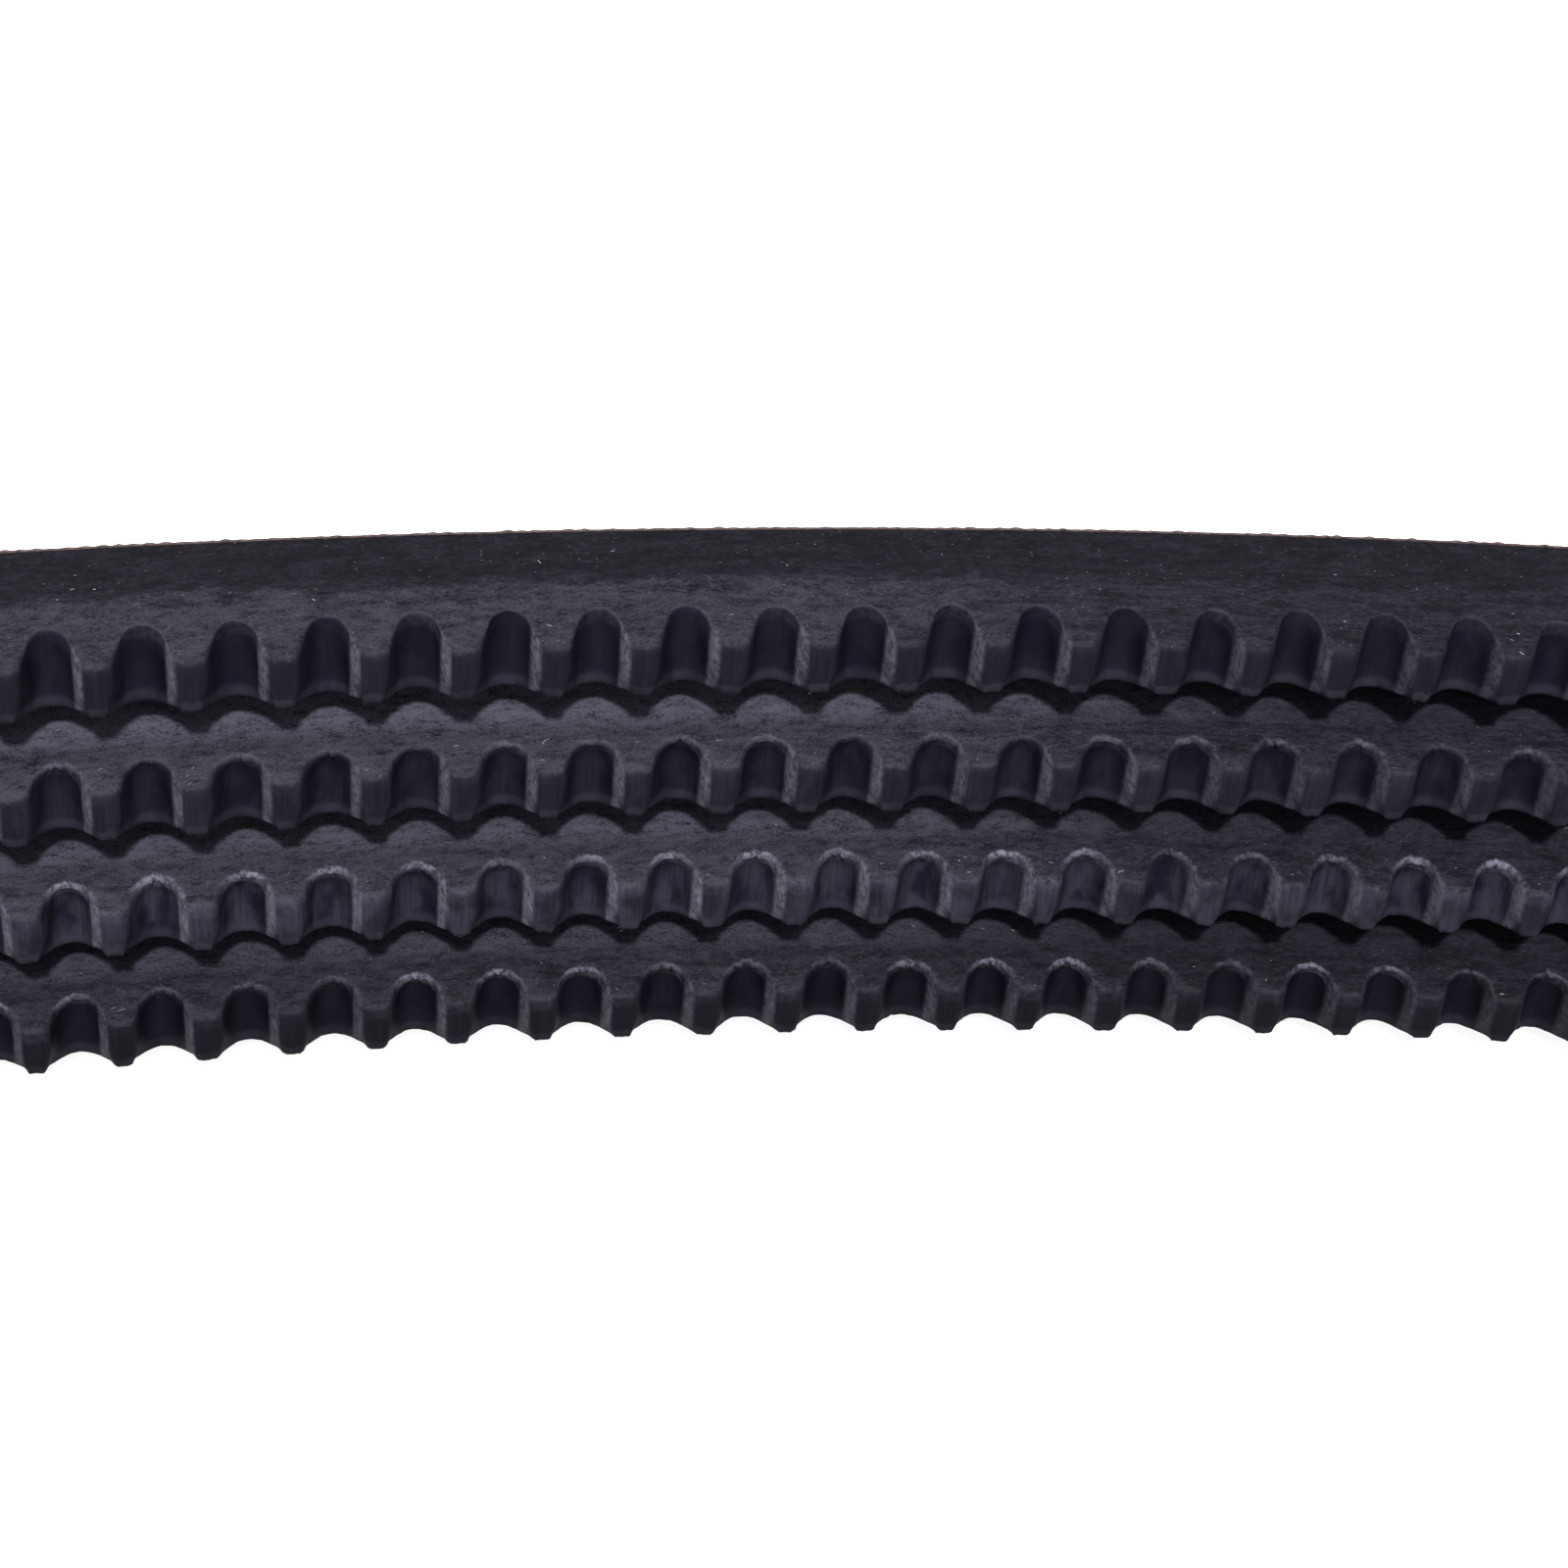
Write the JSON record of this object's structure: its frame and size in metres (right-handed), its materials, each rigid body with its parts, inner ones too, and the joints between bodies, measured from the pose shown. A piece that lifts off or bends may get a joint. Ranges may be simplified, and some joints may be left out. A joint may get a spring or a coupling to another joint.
{
  "type": "banded cogged V-belt",
  "caption": "Endless banded V-belt standing on edge as an oval loop: moulded cogs on ribs with ground V flanks, joined by a woven fabric tie band.",
  "frame": {"origin": "middle of the loop, at the level of the side edge that the belt stands on", "axes": "+X along the loop's longer axis, +Y across it, +Z across the belt's width, up as it stands"},
  "size_m": [0.599, 0.2472, 0.0697],
  "materials": {
    "cover_fabric": "matte",
    "gum_rubber": "matte",
    "polyester_cord": "satin",
    "fibre_rubber": "satin"
  },
  "bodies": {
    "root": {"outer_cover_ply": "cover_fabric", "ply_skim_rubber": "gum_rubber", "inner_cover_ply": "cover_fabric", "tie_band_rubber": "gum_rubber", "rib_1_overcord_gum": "gum_rubber", "rib_1_tensile_cords": "polyester_cord", "rib_1_cushion_gum": "gum_rubber", "rib_1_cogged_body": "fibre_rubber", "rib_2_overcord_gum": "gum_rubber", "rib_2_tensile_cords": "polyester_cord", "rib_2_cushion_gum": "gum_rubber", "rib_2_cogged_body": "fibre_rubber", "rib_3_overcord_gum": "gum_rubber", "rib_3_tensile_cords": "polyester_cord", "rib_3_cushion_gum": "gum_rubber", "rib_3_cogged_body": "fibre_rubber", "rib_4_overcord_gum": "gum_rubber", "rib_4_tensile_cords": "polyester_cord", "rib_4_cushion_gum": "gum_rubber", "rib_4_cogged_body": "fibre_rubber"}
  },
  "joints": []
}
